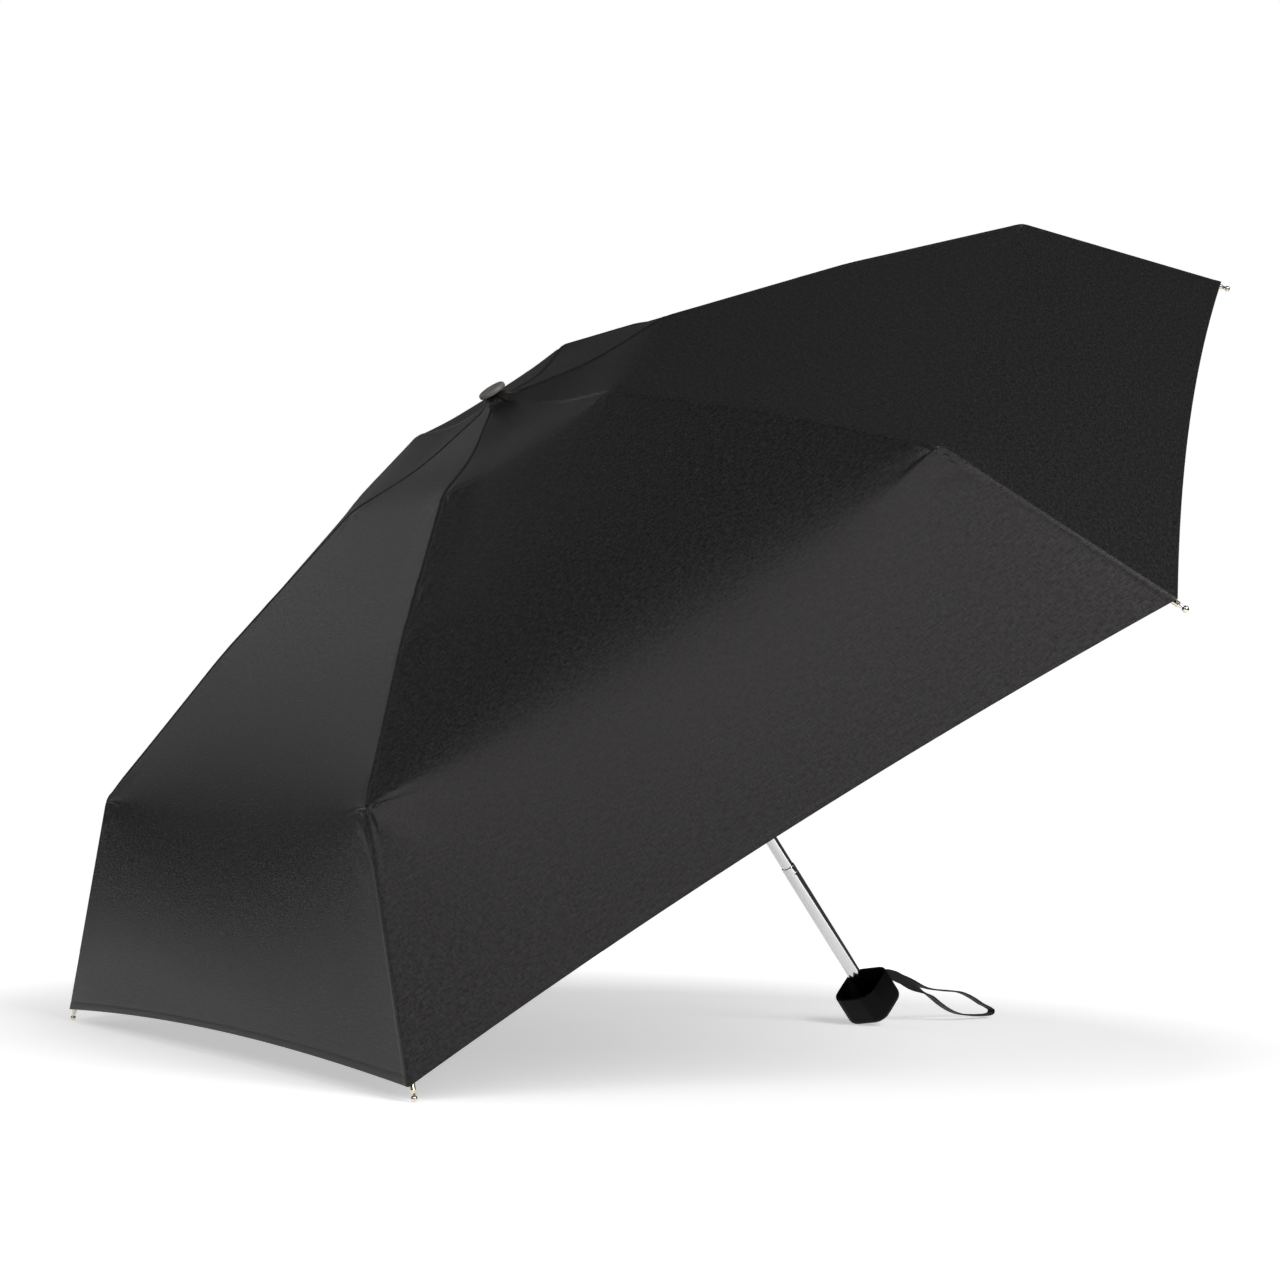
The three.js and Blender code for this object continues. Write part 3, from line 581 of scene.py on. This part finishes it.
def wrist_strap():
    face = CUP_HALF + GAP + ANCHOR_DEPTH + GAP
    mouth = row(around(ANCHOR_AZIMUTH, [(face, 0, ANCHOR_HEIGHT)]))[0]
    route = np.array([(mouth[0] + x * MM, mouth[1] + y * MM, z * MM) for x, y, z in STRAP_ROUTE])
    line = smooth_line(route)
    forward = np.gradient(line, axis=0)
    forward /= np.linalg.norm(forward, axis=1)[:, None]
    across = np.array([0, 1.0, 0]) - forward * forward[:, 1:2]
    across /= np.linalg.norm(across, axis=1)[:, None]
    up = np.cross(forward, across)
    share = np.clip(((line[:, :1] - mouth[0]) / MM - TWIST_START) / (TWIST_END - TWIST_START), 0, 1)
    turn = share**2 * (3 - 2 * share) * math.pi / 2
    wide = up * np.cos(turn) + across * np.sin(turn)
    thick = across * np.cos(turn) - up * np.sin(turn)
    half_thick, half_wide = RIBBON_THICK / 2 * MM, RIBBON_WIDTH / 2 * MM
    section = [(-0.55, -0.96), (0, -1), (0.55, -0.96), (1, -0.86), (0.85, -0.7), (0.8, 0), (0.85, 0.7),
               (1, 0.86), (0.55, 0.96), (0, 1), (-0.55, 0.96), (-1, 0.86), (-0.85, 0.7), (-0.8, 0),
               (-0.85, -0.7), (-1, -0.86)]
    rings = [[p + t * a * half_thick + w * b * half_wide for a, b in section]
             for p, t, w in zip(line, thick, wide)]
    strap = row_piece("wrist_strap_ribbon", *skin(rings), RIBBON, smooth=60)
    run = np.concatenate([[0], np.cumsum(np.linalg.norm(np.diff(line, axis=0), axis=1))]) / MM
    add_uv(strap, [(s, b * RIBBON_WIDTH / 2) for s in run for _, b in section])
    finish_piece(strap, "handle", "strap_webbing", "wrist_strap")
    return strap


wrist_strap()


# ---- Canopy -------------------------------------------------------------------------------------
THICK = 0.24
SEAM_STEPS = (0, 0.35, 0.8, 1.9, 2.7, 3.8, 5.0)  # across the felled seam beside each rib
SEAM_GROOVE = (-0.2, -0.12, 0.0, 0.0, 0.0, 0.0, 0.0)
SEAM_BAND = (-0.25, 0.0, 0.5, 0.85, 0.8, 0.1, 0.0)
HEM_STEPS = (0, 0.5, 2.4, 4.4, 4.9, 7.0)  # from the hem inwards
HEM_RISE = (0.05, 0.12, 0.13, 0.1, -0.06, 0.0)
STIFF_ALONG = 0.09  # pull along the ribs for each unit of pull across them
SKIRT_BAND = 0.3  # share of the seam band's height that is left beside the tip links
UNEVEN, UNEVEN_PER_MM = 1.1, 0.006  # height and frequency of the cloth's faint unevenness
GATHER_SKEW = 0.8  # 1 turns the gather axis square to its link, 0 along the chord between the ribs
COLUMNS = 40
ROW_STEP = 6.0


def mean(a, b):
    return (a + b) / 2


def cloth_line():
    """The cloth's corners over one rib, [radius, z], and how far each is rounded off."""
    a = ANGLE
    return [
        ((5, -2.5), 0),
        ((DISC_RADIUS + 0.6, CROWN_Z + 4.2), 5),
        (step(PIVOT["second"], mean(a["top"], a["second"]), 0, 3.6), 20),
        (step(PIVOT["middle"], mean(a["second"], a["middle"]), 0, ELBOW + 3.2), 6),
        (step(PIVOT["fourth"], mean(a["middle"], a["fourth"]), 0, 3.2), 8),
        (step(PIVOT["tip"], mean(a["fourth"], a["tip"]), 0, ELBOW + 3.7), 3),
        (step(RIB_END, a["tip"], 3.5, 3.1), 0),
    ]


def seam_rows():
    """Rows of cloth down a rib: [radius, z] points, the link each lies on, and each row's run."""
    corners = [np.asarray(c, float) for c, _ in cloth_line()]
    soft = [r for _, r in cloth_line()]
    spans = [("top", 0), ("top", 1), ("second", 2), ("middle", 3), ("fourth", 4), ("tip", 5)]
    points, owner = [], []
    for link, k in spans:
        a, b = corners[k], corners[k + 1]
        length = np.linalg.norm(b - a)
        stops = list(np.linspace(0, length, max(3, round(length / ROW_STEP)), endpoint=False))
        for near, side in ((soft[k], 0), (soft[k + 1], 1)):
            for share in (0.15, 0.35, 0.6, 1):
                at = share * near
                stops.append(at if side == 0 else length - at)
        if link == "tip":
            stops += [length - s for s in HEM_STEPS]
        stops = sorted({round(s, 3) for s in stops if 0 <= s <= length - 0.2})
        kept = [s for i, s in enumerate(stops) if i == 0 or s - stops[i - 1] > 0.3]
        points += [a + (b - a) * s / length for s in kept]
        owner += [link] * len(kept)
    points.append(corners[-1])
    owner.append("tip")
    points = np.array(points)
    eased = points.copy()
    for k, near in list(enumerate(soft))[1:-1]:
        corner = corners[k]
        before, after = (v / np.linalg.norm(v) for v in (corners[k - 1] - corner, corners[k + 1] - corner))
        for i, p in enumerate(points):
            gap = np.linalg.norm(p - corner)
            onward = np.dot(p - corner, after) >= gap * 0.999
            back = np.dot(p - corner, before) >= gap * 0.999
            if gap < near and (onward or back):
                t = 0.5 + (0.5 if onward else -0.5) * gap / near
                eased[i] = corner + near * ((1 - t) ** 2 * before + t**2 * after)
    run = np.concatenate([[0], np.cumsum(np.linalg.norm(np.diff(eased, axis=0), axis=1))])
    return eased, owner, run


def relaxed(net):
    """A stretched net whose border is held: its inner points settle where the pulls balance."""
    rows, columns, _ = net.shape
    down = np.linalg.norm(np.diff(net, axis=0), axis=2)
    over = np.linalg.norm(np.diff(net, axis=1), axis=2)
    strip = (down[:-1] + down[1:]) / 2
    width = (over[:, :-1] + over[:, 1:]) / 2
    pull_over = (strip[:, :-1] + strip[:, 1:]) / 2 / over[1:-1]
    pull_down = STIFF_ALONG * (width[:-1] + width[1:]) / 2 / down[:, 1:-1]
    inner = columns - 2
    carry, right = [], []
    for r in range(rows - 2):
        block = np.diag(pull_over[r, :-1] + pull_over[r, 1:] + pull_down[r] + pull_down[r + 1])
        block -= np.diag(pull_over[r, 1:-1], 1) + np.diag(pull_over[r, 1:-1], -1)
        load = np.zeros((inner, 3))
        load[0] += pull_over[r, 0] * net[r + 1, 0]
        load[-1] += pull_over[r, -1] * net[r + 1, -1]
        if r == 0:
            load += pull_down[0][:, None] * net[0, 1:-1]
        else:
            block -= pull_down[r][:, None] * carry[-1]
            load += pull_down[r][:, None] * right[-1]
        if r == rows - 3:
            load += pull_down[r + 1][:, None] * net[-1, 1:-1]
        inverse = np.linalg.inv(block)
        carry.append(inverse * pull_down[r + 1][None, :])
        right.append(inverse @ load)
    out = net.copy()
    out[rows - 2, 1:-1] = right[-1]
    for r in range(rows - 4, -1, -1):
        out[r + 1, 1:-1] = carry[r] @ out[r + 2, 1:-1] + right[r]
    return out


def normals_of(net):
    """Outward normals of a net."""
    n = np.cross(np.gradient(net, axis=1), np.gradient(net, axis=0))
    n /= np.linalg.norm(n, axis=2)[..., None]
    return n if n[:, :, 2].mean() > 0 else -n


def drag_lines(net, normal, elbow, reach, lines, height):
    """Short creases that fan out from where the cloth is pinned to an elbow."""
    away = net - elbow
    distance = np.linalg.norm(away, axis=2)
    side = np.cross(normal, (0, 0, 1.0))
    side /= np.maximum(np.linalg.norm(side, axis=2), 1e-6)[..., None]
    fan = np.arctan2((away * side).sum(2), (away * np.cross(normal, side)).sum(2))
    fade = np.exp(-((distance / reach) ** 2)) * np.clip(distance / 4 - 0.3, 0, 1)
    return height * fade * (0.6 + sum(np.cos(n * fan + phase) for n, phase in lines) / len(lines))


def gore(rib):
    """The cloth between a rib and the next: points on its middle surface, and outward normals."""
    line, owner, run = seam_rows()
    start, end = azimuth(rib), azimuth(rib + 1)
    shoulder, corner = line[owner.index("tip")], line[-1]
    skirt = np.linalg.norm(corner - shoulder)
    length = run[-1]
    rows = []
    for (radius, z), s in zip(line, run):
        chord = radius * 2 * math.sin((end - start) / 2)
        edge = [min(t, 0.3 * chord * (i + 1) / len(SEAM_STEPS)) for i, t in enumerate(SEAM_STEPS)]
        shares = np.array(edge) / chord
        middle = np.linspace(shares[-1], 1 - shares[-1], COLUMNS + 2)[1:-1]
        share = np.concatenate([shares, middle, 1 - shares[::-1]])
        arch = 4 * HEM_ARCH * share * (1 - share) / skirt
        arch *= np.clip((s - (length - skirt)) / skirt, 0, 1) ** 2
        r = radius + (shoulder[0] - radius) * arch
        height = z + (shoulder[1] - z) * arch
        first = np.stack([r * math.cos(start), r * math.sin(start), height], -1)
        last = np.stack([r * math.cos(end), r * math.sin(end), height], -1)
        rows.append(first + (last - first) * share[:, None])
    flat = np.array(rows)
    settled = relaxed(flat)
    hem = length - run
    ease = np.clip(hem / 12, 0, 1)[:, None, None]
    net = flat + (settled - flat) * ease
    normal = normals_of(net)
    inwards = np.minimum(*(np.linalg.norm(net - net[:, c:c + 1], axis=2) for c in (0, net.shape[1] - 1)))
    rise = np.zeros(net.shape[:2])
    count = len(SEAM_STEPS)
    rise[:, :count] += SEAM_GROOVE
    rise[:, -count:] += np.where(hem < skirt, SKIRT_BAND, 1)[:, None] * SEAM_BAND[::-1]
    rise += np.interp(hem, HEM_STEPS, HEM_RISE)[:, None]
    corners = [np.array(c) for c, _ in cloth_line()]
    ties = ((corners[3], 16, 0.6), (mean(corners[3], corners[4]) * 0.6 + corners[4] * 0.4, 9, 0.7),
            (corners[4], 14, 0.4), (corners[5], 28, 1.1))
    for (radius, z), reach, height in ties:
        for side, angle in ((0, start), (1, end)):
            elbow = np.array([radius * math.cos(angle), radius * math.sin(angle), z])
            lines = [(5, rib + side), (8, 2.1 * rib), (13, 0.7 * side + rib)]
            rise += drag_lines(net, normal, elbow, reach, lines, height) * np.clip(inwards / 5, 0, 1)
    for r in range(net.shape[0]):
        for c in range(net.shape[1]):
            x, y, z = net[r, c] * UNEVEN_PER_MM + rib * 3.7
            rise[r, c] += UNEVEN * noise.noise((x, y, z)) * min(1, hem[r] / 30, inwards[r, c] / 25)
    return net + normal * rise[..., None], owner, run


def gore_piece(name, net, uv, normal):
    """A closed two-sided piece of cloth around part of a gore's net."""
    rows, columns, _ = net.shape
    outer = (net + normal * THICK / 2).reshape(-1, 3)
    inner = (net - normal * THICK / 2).reshape(-1, 3)
    size = rows * columns
    at = np.arange(size).reshape(rows, columns)
    quads = np.stack([at[:-1, :-1], at[:-1, 1:], at[1:, 1:], at[1:, :-1]], -1).reshape(-1, 4)
    faces = [tuple(q) for q in quads] + [tuple(q[::-1] + size) for q in quads]
    border = [*at[0, :-1], *at[:-1, -1], *at[-1, :0:-1], *at[:0:-1, 0]]
    for a, b in zip(border, border[1:] + border[:1]):
        faces.append((b, a, a + size, b + size))
    piece = new_piece(name, np.concatenate([outer, inner]), [tuple(int(i) for i in f) for f in faces],
                      CLOTH, smooth=180)
    add_uv(piece, np.concatenate([uv.reshape(-1, 2)] * 2))
    set_normals(piece, normal.reshape(-1, 3) @ AXES, size, len(quads))
    return piece


def set_normals(piece, outward, size, quads):
    """Shades a piece of cloth with its whole gore's normals, so that no join shows."""
    mesh = piece.data
    first = mesh.polygons[0]
    if np.dot(np.array(first.normal), outward[first.vertices[0]]) <= 0:
        mesh.flip_normals()
    given = []
    for polygon in mesh.polygons:
        for v in polygon.vertices:
            if polygon.index < quads:
                given.append(tuple(outward[v]))
            elif polygon.index < 2 * quads:
                given.append(tuple(-outward[v - size]))
            else:
                given.append((0, 0, 0))
    mesh.normals_split_custom_set(given)


def add_canopy():
    """Each gore is cut along its middle and across at each elbow, so that every part follows its link."""
    for rib in range(1, RIBS + 1):
        net, owner, run = gore(rib)
        normal = normals_of(net)
        over = np.linalg.norm(np.diff(net, axis=1), axis=2).cumsum(1)
        uv = np.zeros((*net.shape[:2], 2))
        uv[:, 1:, 0] = over
        uv[..., 0] -= over[:, -1:] / 2
        uv[..., 1] = run[:, None]
        uv += rib * 700.0
        middle = net.shape[1] // 2
        halves = (("left", rib, slice(0, middle + 1)), ("right", rib % RIBS + 1, slice(middle, None)))
        for side, follows, columns in halves:
            for link in LINKS:
                first = owner.index(link)
                last = len(owner) - owner[::-1].index(link)
                part = slice(first, min(last + 1, len(owner)))
                cloth = net[part, columns]
                piece = gore_piece(f"canopy_{rib}_{side}_{link}", cloth, uv[part, columns],
                                   normal[part, columns])
                hold_cloth(piece, link, follows, side)
                if side == "left" and link == "top":
                    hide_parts(f"canopy_panel_{rib}")


def hold_cloth(piece, link, rib, side):
    """The piece rides on its rib link. The axis it would gather about as the ribs fold is worked out, but nothing
    uses it.
    """
    body = f"{link}_rib_{rib}"
    finish_piece(piece, body, "canopy_cloth")
    a, angle = math.radians(ANGLE[link]), azimuth(rib)
    forward = around(angle, (math.cos(a), 0, math.sin(a)))
    turn = 1 if side == "left" else -1
    other = angle + turn * 2 * math.pi / RIBS
    chord = np.array([math.cos(other) - math.cos(angle), math.sin(other) - math.sin(angle), 0])
    chord /= np.linalg.norm(chord)
    axis = chord - forward * chord.dot(forward) * GATHER_SKEW
    axis /= np.linalg.norm(axis)
    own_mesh(piece)


add_canopy()


# ---- Shaft --------------------------------------------------------------------------------------
TUBE_WALL = 0.3
TUBE_BOTTOMS = (CUP_BOTTOM + CUP_FLOOR + 2, TUBE_TOPS[0] - OVERLAP, TUBE_TOPS[1] - OVERLAP,
                TUBE_TOPS[2] - OVERLAP)


def add_tubes():
    """Each tube ends in a lip rolled inwards over the next, with a dimple row just below it."""
    bodies = ("handle", "tube_2", "tube_3", "top")
    for k, (outer, bottom, top) in enumerate(zip(TUBE_RADII, TUBE_BOTTOMS, TUBE_TOPS)):
        inner = outer - TUBE_WALL
        profile = [(inner, bottom), (outer, bottom)]
        if k < 3:
            profile += [(outer, top - 6.2), (outer - 0.16, top - 5.8), (outer - 0.16, top - 5.4),
                        (outer, top - 5.0), (outer, top - 0.7), (outer - 0.2, top - 0.15),
                        (inner, top)]
        else:
            profile += [(outer, top), (inner, top)]
        tube = new_piece(f"tube_{k + 1}", *lathe(rounded(profile, 0.25, 3), 96), CHROME, smooth=30)
        finish_piece(tube, bodies[k], "chrome_tube", f"shaft_tube_{k + 1}")


add_tubes()


# ---- Handle, cap, crown and runner --------------------------------------------------------------
def rounded_square(half, corner, z, per_corner=12):
    """A ring of points in the cup's own turn about the shaft."""
    points = []
    for quarter in range(4):
        facing = quarter * math.pi / 2 + math.radians(CUP_TURN)
        side = half - corner
        centre = (side * math.cos(facing) - side * math.sin(facing),
                  side * math.sin(facing) + side * math.cos(facing))
        for turn in np.linspace(0, math.pi / 2, per_corner):
            points.append((centre[0] + corner * math.cos(facing + turn),
                           centre[1] + corner * math.sin(facing + turn), z))
    return points


def handle():
    """The cup: up its rounded outside, over its lip, and down to a floor with a soft edge."""
    rings = []
    for t in np.linspace(0.12, 1, 9) * math.pi / 2:
        inset = CUP_ROUND * (1 - math.sin(t))
        rings.append(rounded_square(CUP_HALF - inset, CUP_CORNER - inset,
                                    CUP_BOTTOM + CUP_ROUND * (1 - math.cos(t))))
    inner, inner_corner = CUP_HALF - CUP_WALL, CUP_CORNER - CUP_WALL
    lip = CUP_WALL / 2
    rings.append(rounded_square(CUP_HALF, CUP_CORNER, mean(CUP_BOTTOM, RIM_Z)))
    for t in np.linspace(0, math.pi, 7):
        half = CUP_HALF - lip + lip * math.cos(t)
        rings.append(rounded_square(half, half - CUP_HALF + CUP_CORNER, RIM_Z - lip + lip * math.sin(t)))
    floor = CUP_BOTTOM + CUP_FLOOR
    for drop, inset in ((0, 0), (0.3, 0.2), (0.8, 0.8), (1, 2)):
        rings.append(rounded_square(inner - inset * 2, inner_corner - inset * 2, floor + 3 - 3 * drop))
    cup = new_piece("handle_shell", *skin(rings), MATTE_BLACK, smooth=50)
    return finish_piece(cup, "handle", "handle_black", "handle_cup")


def top_cap():
    top = CAP_Z + CAP_THICK
    dish = [(0, top - 0.25), (2.2, top - 0.25), (2.4, top - 0.05), (3.2, top), (CAP_RADIUS - 1.1, top),
            (CAP_RADIUS - 0.3, top - 0.5), (CAP_RADIUS, top - 1.2), (CAP_RADIUS, CAP_Z + 0.6),
            (CAP_RADIUS - 0.5, CAP_Z), (2.1, CAP_Z), (2.1, top - 1.9), (0, top - 1.9)]
    cap = new_piece("crown_cap", *lathe(rounded(dish, 0.3, 4), 72), CAP_GREY, smooth=32)
    return finish_piece(cap, "top", "cap_grey", "top_cap")


def dress_cad_nodes():
    """Small inner parts keep their CAD shape, with softened edges and their own finish."""
    finishes = {
        "crown": INNER_PLASTIC, "runner": INNER_PLASTIC, "handle_plug": INNER_PLASTIC,
        "strap_anchor": INNER_PLASTIC, "crown_wire": WIRE, "runner_wire": WIRE, "runner_catch": WIRE,
    }
    for name, material in finishes.items():
        obj = frame["nodes"][name]
        obj.data.materials.clear()
        obj.data.materials.append(material)
        if "wire" not in name:
            bevelled(obj, 0.25)


handle()
top_cap()
dress_cad_nodes()


# ---- Rib links ----------------------------------------------------------------------------------
HALF_LINK = 1.05
LUG = 1.6
PIN_HEAD = 1.5


def channel(start, end, lane, middle, depth, wall=0.45):
    """A pressed U-channel, open below, along x."""
    top, bottom = middle + depth / 2, middle - depth / 2
    y0, y1 = lane - HALF_LINK, lane + HALF_LINK
    section = [(y0, bottom), (y0, top - 0.35), (y0 + 0.35, top), (y1 - 0.35, top), (y1, top - 0.35),
               (y1, bottom), (y1 - wall, bottom), (y1 - wall, top - wall), (y0 + wall, top - wall),
               (y0 + wall, bottom)]
    rings = [[(x, y, z) for y, z in section] for x in (start, end)]
    return skin(rings)


def lug(x, z, lane, radius):
    """The rounded eye of a link."""
    return cylinder(radius, (x, lane - HALF_LINK, z), (x, lane + HALF_LINK, z), 28, 0.15)


def rivet(x, z, side):
    """A set rivet whose domed head stands on the outside of the next lane."""
    start = side * (LANE + HALF_LINK + 0.1)
    shank = cylinder(0.85, (x, 0, z), (x, start, z), 16)
    head = cylinder(PIN_HEAD, (x, start, z), (x, start + side * 0.75, z), 24, 0.3)
    return merge(shank, head)


def link_shapes():
    """The parts of each link, in its own frame, with the material of each."""
    top, second = LENGTH["top"], LENGTH["second"]
    middle, fourth, tip = LENGTH["middle"], LENGTH["fourth"], LENGTH["tip"]
    notch = top - second
    return {
        "top": (BLACK_STEEL, merge(
            channel(1.5, notch - 2.3, -LANE, 0, 3), channel(notch + 2.3, top - 1.2, -LANE, 0, 3),
            extruded([(notch - 2.4, -1.5), (notch + 2.4, -1.5), (notch + 2.4, -0.6), (notch - 2.4, -0.6)],
                     -LANE - HALF_LINK, -LANE + HALF_LINK),
            lug(0, 0, -LANE, 1.9), lug(top, 0, -LANE, LUG))),
        "second": (BLACK_STEEL, merge(
            channel(-CRANK, second, 0, 0, 3), lug(-CRANK, 0, 0, LUG), lug(0, 0, 0, LUG),
            lug(second, -ELBOW, 0, LUG), rivet(0, 0, -1), rivet(second, -ELBOW, -1))),
        "middle": (ALUMINIUM, merge(
            channel(0, middle, -LANE, ELBOW, 3), lug(0, 0, -LANE, LUG),
            lug(middle, ELBOW, -LANE, LUG))),
        "fourth": (ALUMINIUM, merge(
            channel(0, fourth, 0, 0, 3), lug(0, 0, 0, LUG), lug(fourth, -ELBOW, 0, LUG),
            rivet(0, 0, -1), rivet(fourth, -ELBOW, 1))),
        "stretcher": (BLACK_STEEL, merge(
            channel(1.5, STRETCHER, LANE, 0, 3), lug(0, 0, LANE, 1.9), lug(STRETCHER, 0, LANE, LUG))),
        "tip": (RESIN, merge(tip_rod(tip), lug(0, 0, LANE, LUG))),
    }


def tip_rod(length):
    """A resin rod that starts flat beside the fourth link and tapers to a round end."""
    stops = [(-1, LANE, 1.0, 1.0), (6, LANE, 1.0, 1.0), (12, LANE, 0.9, 0.95), (110, LANE, 0.85, 0.9),
             (125, LANE, 0.85, 0.9), (133, 0, 0.85, 0.9), (length, 0, 0.85, 0.9)]
    turn = np.linspace(0, 2 * math.pi, 20, endpoint=False)
    rings = []
    for x, lane, wide, tall in stops:
        rings.append(np.stack([np.full(20, float(x)), lane + wide * np.cos(turn),
                               ELBOW + tall * np.sin(turn)], -1))
    return skin(rings)


def tip_metal(length):
    """The pressed ferrule that the cloth's corner is sewn to, its neck and its ball."""
    stops = [(-9, 1.05), (-8.6, 1.3), (-6, 1.3), (-5.6, 1.45), (5, 1.5), (5.4, 1.15), (7.6, 0.85),
             (8.6, 0.8)]
    turn = np.linspace(0, 2 * math.pi, 24, endpoint=False)
    rings = [np.stack([np.full(24, length + x), r * np.cos(turn), ELBOW + r * np.sin(turn)], -1)
             for x, r in stops]
    return merge(skin(rings), ball(1.75, (length + 9, 0, ELBOW), 24))


def add_ribs():
    shapes = link_shapes()
    slots = {"top": "black_steel", "second": "black_steel", "stretcher": "black_steel",
             "middle": "rib_aluminium", "fourth": "rib_aluminium", "tip": "tip_resin"}
    for rib in range(1, RIBS + 1):
        for link, (material, shape) in shapes.items():
            node = f"stretcher_{rib}" if link == "stretcher" else f"{link}_rib_{rib}"
            piece = new_piece(f"{node}_link", *place_in_link(shape, link, rib), material, smooth=35)
            finish_piece(piece, node, slots[link], node)
        metal = place_in_link(tip_metal(LENGTH["tip"]), "tip", rib)
        finish_piece(new_piece(f"tip_ball_{rib}", *metal, TIP_METAL), f"tip_rib_{rib}", "steel_wire")


add_ribs()
add_studio()
